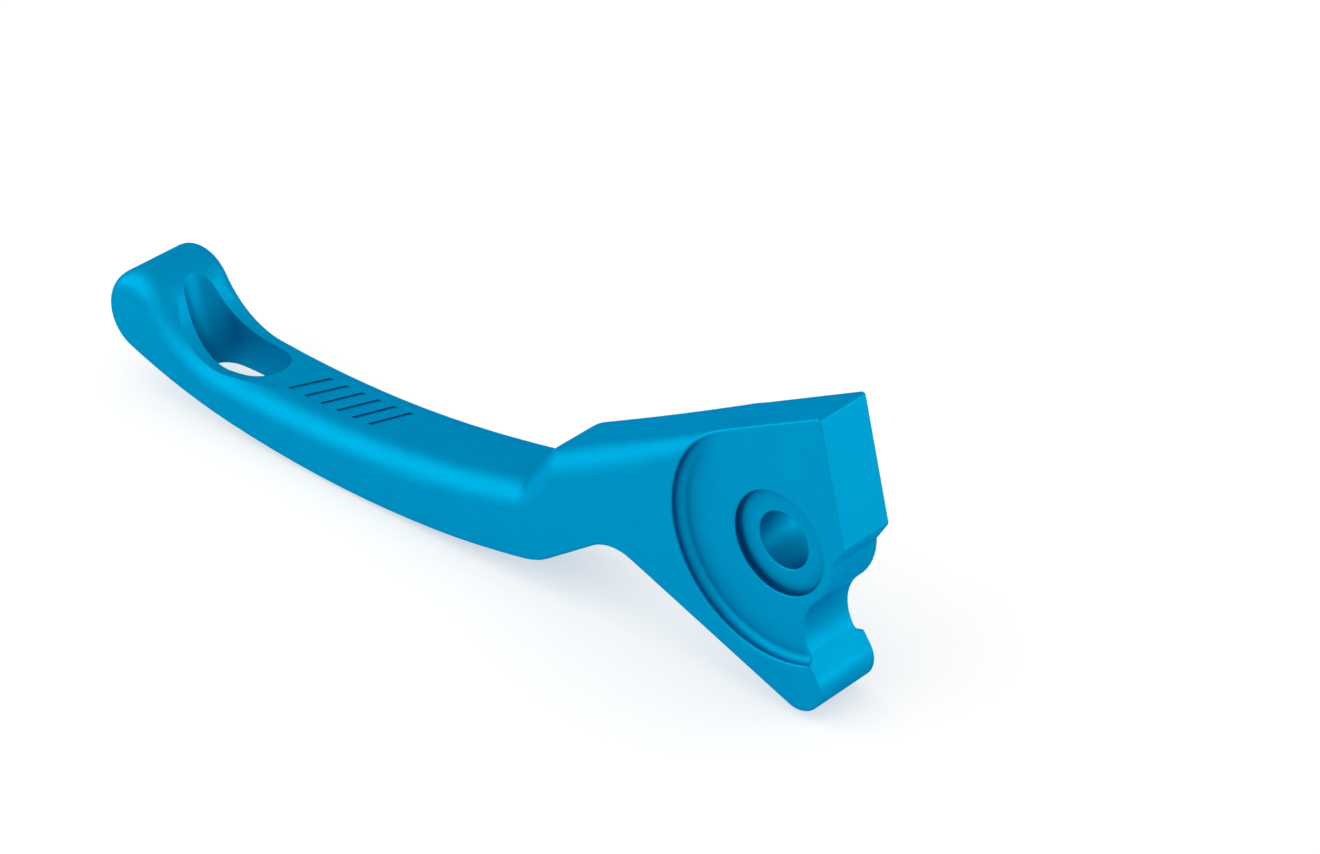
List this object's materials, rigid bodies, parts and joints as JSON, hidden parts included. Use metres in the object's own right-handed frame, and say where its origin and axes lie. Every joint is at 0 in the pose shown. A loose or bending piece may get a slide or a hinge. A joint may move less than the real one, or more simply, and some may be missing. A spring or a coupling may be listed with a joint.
{
  "type": "motorcycle hand lever",
  "caption": "Bare clutch or brake hand lever: curved finger blade with a slotted, hooked tip, and a recessed head with a pivot bore and a half-round push notch.",
  "frame": {"origin": "middle of the pivot bore, on the lever's plane of symmetry", "axes": "+Y along the pivot bore; -X along the blade to the tip; +Z towards the side of the blade that the fingers pull"},
  "size_m": [0.1492, 0.016, 0.0496],
  "materials": {
    "anodised_blue": "satin anodised, fine bead-blasted grain"
  },
  "bodies": {
    "root": {"lever": "anodised_blue"}
  },
  "joints": []
}
